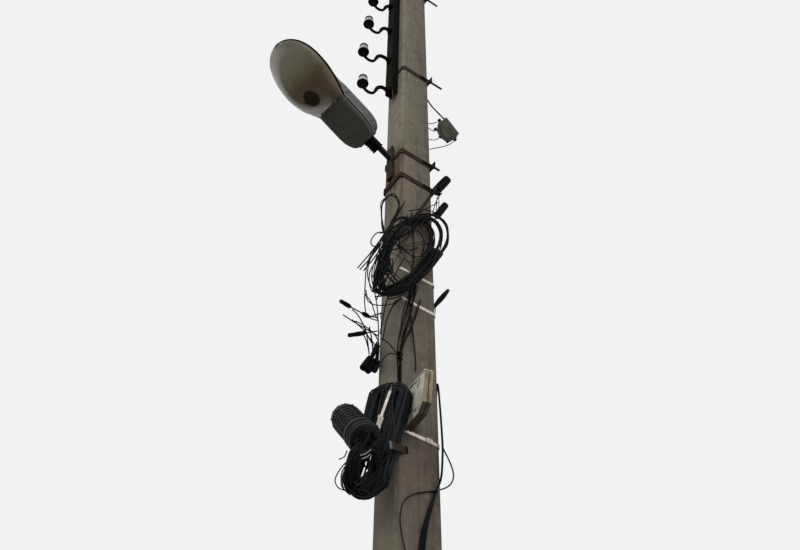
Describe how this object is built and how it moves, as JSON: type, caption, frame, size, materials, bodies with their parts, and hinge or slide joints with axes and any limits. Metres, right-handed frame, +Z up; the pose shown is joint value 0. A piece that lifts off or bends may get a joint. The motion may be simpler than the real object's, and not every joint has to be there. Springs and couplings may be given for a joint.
{
  "type": "utility pole",
  "caption": "Tapered concrete utility pole with a hook channel and glass insulators, a street lamp on an arm, stored cable loops, a splice closure and a terminal box.",
  "frame": {"origin": "middle of the pole's foot at ground level", "axes": "+Z up the pole, -Y out of the wide face that carries the cable, -X towards the insulators and the lamp"},
  "size_m": [1.3555, 0.5769, 9.1],
  "materials": {
    "concrete": "weathered, streaked, matt",
    "dark_steel": "old black paint, rough",
    "rusty_steel": "rusted galvanised steel",
    "insulator_glass": "pale clear glass",
    "lamp_grey": "weathered grey paint",
    "tray_grey": "dark grey, matt",
    "reflector_metal": "satin",
    "bulb_glass": "opal white",
    "bowl_plastic": "aged milky plastic with dirt",
    "bright_strap": "stainless strap",
    "cable_black": "black cable jacket",
    "closure_black": "black moulded plastic",
    "box_cream": "aged cream plastic",
    "clamp_black": "black moulded plastic",
    "splice_green": "dark grey green plastic"
  },
  "bodies": {
    "pole": {"concrete_pole": "concrete", "hook_channel": "dark_steel", "hook_1": "dark_steel", "hook_2": "dark_steel", "hook_3": "dark_steel", "hook_4": "dark_steel", "hook_5": "dark_steel", "insulator_1": "insulator_glass", "insulator_2": "insulator_glass", "insulator_3": "insulator_glass", "insulator_4": "insulator_glass", "insulator_5": "insulator_glass", "channel_clamp_lower": "rusty_steel", "channel_clamp_upper": "rusty_steel", "lamp_clamp_upper": "rusty_steel", "lamp_clamp_lower": "rusty_steel", "lamp_bracket": "rusty_steel", "lamp_arm": "dark_steel", "lamp_neck": "dark_steel", "lamp_cover": "lamp_grey", "lamp_gear_tray": "tray_grey", "lamp_reflector": "reflector_metal", "lamp_bulb": "bulb_glass", "strap_top": "bright_strap", "strap_middle": "bright_strap", "strap_box": "bright_strap", "slack_loops": "cable_black", "lower_coil": "cable_black", "coil_hook": "rusty_steel", "closure_dome": "closure_black", "closure_base": "closure_black", "closure_hanger": "bright_strap", "closure_leads": "cable_black", "down_leads": "cable_black", "terminal_box": "box_cream", "terminal_box_lid": "box_cream", "riser_cables": "cable_black", "riser_straps": "bright_strap", "side_run": "cable_black", "anchor_clamps_right": "clamp_black", "anchor_clamps_left": "clamp_black", "splice_box": "splice_green", "splice_box_leads": "cable_black"},
    "bowl": {"lamp_bowl": "bowl_plastic"}
  },
  "joints": [
    {"name": "bowl_hinge", "type": "hinge", "parent": "pole", "child": "bowl", "pos_m": [-0.61691, -0.03625, 6.72864], "axis": [0.1045, -0.9945, 0], "range_deg": [0, 80]}
  ]
}
